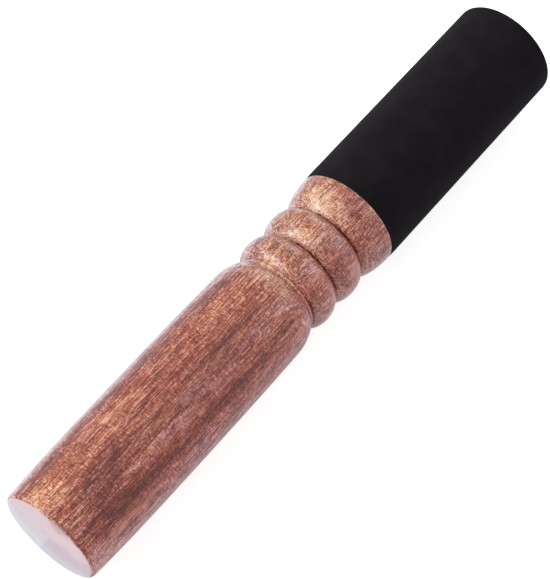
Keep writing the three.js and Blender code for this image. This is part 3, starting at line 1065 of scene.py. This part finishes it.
@dataclass
class TurnedHandle:
    """The hardwood rod: barrel grip, shoulder, ring, two beads, collar and spigot."""

    finish: bpy.types.Material
    turning: bpy.types.NodeTree
    axis_height: float = AXIS_HEIGHT
    grip_length: float = 85.1 * MM
    ring_length: float = 1.28 * MM
    ring_gap: float = 0.12 * MM
    first_bead_length: float = 9.0 * MM
    second_bead_length: float = 10.1 * MM
    collar_length: float = 9.8 * MM
    blank_radius: float = 14.75 * MM
    butt_depth: float = 0.91 * MM
    butt_edge_radius: float = 1.1 * MM
    belly_depth: float = 0.19 * MM
    belly_place: float = 50.0 * MM
    butt_fall_power: float = 3.6
    shoulder_depth: float = 0.41 * MM
    shoulder_fall_power: float = 2.0
    shoulder_length: float = 7.5 * MM
    shoulder_cut_off: float = 0.9 * MM
    shoulder_run_power: float = 2.0 / 1.9
    shoulder_drop_power: float = 1.42
    foot_depth: float = 3.42 * MM
    ring_depth: float = 3.20 * MM
    first_groove_depth: float = 3.32 * MM
    second_groove_depth: float = 3.80 * MM
    third_groove_depth: float = 3.42 * MM
    ring_height: float = 0.42 * MM
    first_bead_height: float = 2.74 * MM
    second_bead_height: float = 2.86 * MM
    collar_edge: float = 0.15 * MM
    spigot_radius: float = 13.32 * MM
    face_shares: tuple[float, ...] = (0.0, 0.2, 0.4, 0.6, 0.8, 0.93)
    butt_edge_steps: int = 8
    shoulder_steps: int = 24
    bead_steps: int = 40
    collar_steps: int = 32
    collar_edge_steps: int = 4
    steps_around: int = 256
    spacing: float = 0.5 * MM
    unevenness: float = 0.06 * MM
    unevenness_length: float = 14 * MM
    merge_distance: float = 0.001 * MM
    seed: float = 3.0

    @property
    def shoulder_place(self) -> float:
        """Distance of the shoulder's start from the butt."""
        return self.grip_length - self.shoulder_length

    @property
    def length(self) -> float:
        """Whole length of the rod, from the frame."""
        low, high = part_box(Node.HANDLE.value)
        return high[0] - low[0]

    def grip_radius(self, place: float) -> float:
        """Radius of the barrel at a distance from the butt.

        Args:
            place: The distance.

        Returns:
            The radius.
        """
        if place < self.belly_place:
            share = 1 - place / self.belly_place
            fall = (self.butt_depth - self.belly_depth) * share ** self.butt_fall_power
        else:
            share = (place - self.belly_place) / (self.shoulder_place - self.belly_place)
            fall = (self.shoulder_depth - self.belly_depth) * share ** self.shoulder_fall_power
        return self.blank_radius - self.belly_depth - fall

    def butt(self) -> Line:
        """Butt face and its rounded edge, from the axis out to the barrel.

        Returns:
            Places and radii.
        """
        edge = self.butt_edge_radius
        rim = self.grip_radius(edge)
        turns = [share * math.pi / 2 for share in shares(self.butt_edge_steps)]
        return [(0.0, share * (rim - edge)) for share in self.face_shares] + [
            (edge * (1 - math.cos(turn)), rim - edge * (1 - math.sin(turn))) for turn in turns]

    def barrel(self) -> Line:
        """Barrel from the butt's edge to the shoulder.

        Returns:
            Places and radii.
        """
        reach = self.shoulder_place - self.butt_edge_radius
        places = [self.butt_edge_radius + reach * share
                  for share in shares(round(reach / self.spacing), 1)]
        return [(place, self.grip_radius(place)) for place in places]

    def shoulder(self) -> Line:
        """Soft roll of the grip down to the thin cut in front of the ring.

        Returns:
            Places and radii.
        """
        foot = self.blank_radius - self.foot_depth
        drop = self.foot_depth - self.shoulder_depth
        roll = self.shoulder_length + self.shoulder_cut_off
        last = math.asin((self.shoulder_length / roll) ** (1 / self.shoulder_run_power))
        return [(self.shoulder_place + roll * math.sin(share * last) ** self.shoulder_run_power,
                 foot + drop * math.cos(share * last) ** self.shoulder_drop_power)
                for share in shares(self.shoulder_steps, 1)]

    def bead(self, start: float, length: float, first_depth: float, last_depth: float,
             height: float) -> Line:
        """Half-ellipse between two grooves, as places and radii.

        Args:
            start: Place of the first groove.
            length: Distance between the grooves.
            first_depth: Depth of the first groove.
            last_depth: Depth of the last groove.
            height: Height of the bead above the grooves.

        Returns:
            Places and radii.
        """
        points = []
        for share in shares(self.bead_steps):
            turn = share * math.pi
            along = (1 - math.cos(turn)) / 2
            base = self.blank_radius - (first_depth + (last_depth - first_depth) * along)
            points.append((start + along * length, base + height * math.sin(turn)))
        return points

    def collar(self, start: float) -> Line:
        """Flare from the last groove up to the collar's slightly rounded edge.

        Args:
            start: Place of the last groove.

        Returns:
            Places and radii.
        """
        groove = self.blank_radius - self.third_groove_depth
        flare = self.collar_length - self.collar_edge
        turns = [share * math.pi / 2 for share in shares(self.collar_steps, 1)]
        edge_turns = [share * math.pi / 2 for share in shares(self.collar_edge_steps, 1)]
        return [(start + flare * (1 - math.cos(turn)),
                 groove + self.third_groove_depth * math.sin(turn)) for turn in turns] + [
            (start + flare + self.collar_edge * math.sin(turn),
             self.blank_radius - self.collar_edge * (1 - math.cos(turn))) for turn in edge_turns]

    def profile(self) -> Line:
        """Work out the rod's outline.

        Returns:
            Places from the butt and radii, from the axis at the butt to the axis at the head.
        """
        line = self.butt() + self.barrel() + self.shoulder()
        line += self.bead(self.grip_length, self.ring_length, self.ring_depth, self.ring_depth,
                          self.ring_height)
        start = self.grip_length + self.ring_length + self.ring_gap
        line += self.bead(start, self.first_bead_length, self.first_groove_depth,
                          self.second_groove_depth, self.first_bead_height)
        start += self.first_bead_length
        line += self.bead(start, self.second_bead_length, self.second_groove_depth,
                          self.third_groove_depth, self.second_bead_height)[1:]
        start += self.second_bead_length
        line += self.collar(start)
        line += [(start + self.collar_length, self.spigot_radius),
                 (self.length, self.spigot_radius)]
        return line + [(self.length, share * self.spigot_radius)
                       for share in reversed(self.face_shares)]

    def build(self) -> bpy.types.Object:
        """Turn the rod, dress it and set it in the frame.

        Returns:
            The piece.
        """
        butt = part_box(Node.HANDLE.value)[0][0]
        line = [(butt + place, radius) for place, radius in self.profile()]
        made = formed(new_outline("handle", line), self.turning, inputs_of(self))
        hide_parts(Node.HANDLE.value)
        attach(made, "root")
        return made


@dataclass
class SuedeWrap:
    """The suede strip wound round the head, with its seam on the side away from the camera."""

    finish: bpy.types.Material
    winding: bpy.types.NodeTree
    axis_height: float = AXIS_HEIGHT
    thickness: float = 1.4 * MM
    outer_radius: float = 14.87 * MM
    seam_width: float = 0.35 * MM
    seam_angle: float = math.radians(-20)
    edge_radius: float = 0.35 * MM
    edge_steps: int = 4
    steps_along: int = 128
    steps_around: int = 168
    unevenness: float = 0.08 * MM
    unevenness_length: float = 7 * MM
    front_press: float = 0.16 * MM
    front_length: float = 3.5 * MM

    def build(self) -> bpy.types.Object:
        """Wind the strip, dress it and set it in the frame.

        Returns:
            The piece.
        """
        low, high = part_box(Node.SUEDE.value)
        start = new_piece("suede", [(0, 0, 0)], [], [])
        made = formed(start, self.winding, {
            **inputs_of(self), "Start": low[0], "Length": high[0] - low[0],
            "Inner Radius": self.outer_radius - self.thickness})
        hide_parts(Node.SUEDE.value)
        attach(made, "root")
        return made


@dataclass
class GlueFilm:
    """The film of glue between the spigot and the suede, seen at the head end and the seam."""

    finish: bpy.types.Material
    turning: bpy.types.NodeTree
    axis_height: float = AXIS_HEIGHT
    inner_radius: float = 13.33 * MM
    outer_radius: float = 13.46 * MM
    steps_around: int = 192
    unevenness: float = 0.0
    unevenness_length: float = 10 * MM
    merge_distance: float = 0.001 * MM
    seed: float = 1.0

    def build(self) -> bpy.types.Object:
        """Turn the film, dress it and set it in the frame.

        Returns:
            The piece.
        """
        low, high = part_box(Node.GLUE.value)
        line = [(low[0], self.inner_radius), (low[0], self.outer_radius),
                (high[0], self.outer_radius), (high[0], self.inner_radius),
                (low[0], self.inner_radius)]
        made = formed(new_outline("glue", line), self.turning, inputs_of(self))
        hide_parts(Node.GLUE.value)
        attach(made, "root")
        return made


@dataclass(frozen=True)
class Lamp:
    """A square soft light, aimed at the beads from a direction."""

    name: str
    towards: Triple
    distance: float
    size: float
    level: float
    colour: Triple = (1.0, 1.0, 1.0)


@dataclass
class Studio:
    """Table, soft lights and the camera of the photograph."""

    table_finish: bpy.types.Material
    aim: Vector = field(default_factory=lambda: Vector((0.0, 0.0, 0.015)))
    elevation: float = 58.8
    azimuth: float = -51.45
    camera_target: Vector = field(
        default_factory=lambda: Vector((-6.084 * MM, 0.971 * MM, 15.076 * MM)))
    camera_distance: float = 507.96 * MM
    focal_pixels: float = 2000.5
    frame_height: float = 579.0
    sensor: float = 36.0
    clip_start: float = 0.01
    clip_end: float = 20.0
    table_size: float = 6.0
    fill_level: float = 0.40
    lamps: tuple[Lamp, ...] = (
        Lamp("left_window", (-0.66, 0.47, 0.59), 0.8, 0.6, 0.72, (1.0, 0.98, 0.97)),
        Lamp("far_window", (-0.4, 0.75, 0.53), 0.9, 0.5, 0.40, (0.88, 0.94, 1.0)),
        Lamp("right_window", (0.70, -0.50, 0.51), 0.9, 0.6, 0.26, (0.95, 0.95, 1.0)),
        Lamp("head_window", (0.80, 0.35, 0.49), 0.9, 0.5, 0.26),
    )

    def lay_table(self) -> None:
        """Make the table top at z = 0."""
        half = self.table_size / 2
        corners = [(-half, -half, 0), (half, -half, 0), (half, half, 0), (-half, half, 0)]
        table = new_piece("table_top", corners, [], [(0, 1, 2, 3)])
        table.data.materials.append(self.table_finish)

    def hang_lamps(self) -> None:
        """Hang the soft lights: a level of 1 lights a facing white surface to white."""
        for lamp in self.lamps:
            data = bpy.data.lights.new(lamp.name, "AREA")
            data.shape = "SQUARE"
            data.size = lamp.size
            data.color = lamp.colour
            data.energy = lamp.level * math.pi ** 2 * lamp.distance ** 2
            made = bpy.data.objects.new(lamp.name, data)
            direction = Vector(lamp.towards).normalized()
            made.location = self.aim + direction * lamp.distance
            made.rotation_mode = "QUATERNION"
            made.rotation_quaternion = direction.to_track_quat("Z", "Y")
            bpy.context.scene.collection.objects.link(made)

    def light_room(self) -> None:
        """Give the room an even pale light, white where it is seen or mirrored."""
        world = bpy.data.worlds.new("pale_room")
        world.use_nodes = True
        bpy.context.scene.world = world
        graph = Graph(world.node_tree)
        path = graph.node("ShaderNodeLightPath")
        shown = graph.math("MAXIMUM", path.outputs["Is Camera Ray"], graph.math(
            "MAXIMUM", path.outputs["Is Glossy Ray"], path.outputs["Is Transmission Ray"]))
        strength = graph.times(shown, 1.0 - self.fill_level, self.fill_level)
        glow = graph.node("ShaderNodeBackground", {"Color": WHITE, "Strength": strength})
        graph.node("ShaderNodeOutputWorld", {"Surface": glow.outputs[0]})

    def set_camera(self) -> None:
        """Place the camera where the photograph was taken from."""
        up, around = math.radians(self.elevation), math.radians(self.azimuth)
        back = Vector((math.sin(around) * math.cos(up), -math.cos(around) * math.cos(up),
                       math.sin(up)))
        data = bpy.data.cameras.new("photo_camera")
        data.sensor_width = self.sensor
        data.lens = self.focal_pixels * self.sensor / self.frame_height
        data.clip_start = self.clip_start
        data.clip_end = self.clip_end
        made = bpy.data.objects.new("photo_camera", data)
        made.location = self.camera_target + back * self.camera_distance
        made.rotation_mode = "QUATERNION"
        made.rotation_quaternion = (-back).to_track_quat("-Z", "Y")
        bpy.context.scene.collection.objects.link(made)
        bpy.context.scene.camera = made

    def build(self) -> None:
        """Set the studio up."""
        self.set_camera()
        self.lay_table()
        self.hang_lamps()
        self.light_room()
        bpy.context.scene.view_settings.view_transform = "Standard"


def report(piece: bpy.types.Object) -> None:
    """Log a finished piece's name and its number of faces."""
    LOG.info("%s: %d faces", piece.name, len(piece.data.polygons))


def main() -> None:
    """Build the studio, then each piece in order."""
    logging.basicConfig(level=logging.INFO, format="%(name)s %(message)s")
    Studio(PaleTable().build()).build()
    turning, winding = turning_form(), winding_form()
    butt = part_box(Node.HANDLE.value)[0][0]
    wood = VarnishedWood(axis_height=AXIS_HEIGHT, butt_place=butt).build()
    report(TurnedHandle(wood, turning).build())
    report(SuedeWrap(NappedSuede().build(), winding).build())
    report(GlueFilm(DriedGlue().build(), turning).build())


if __name__ == "__main__":
    main()
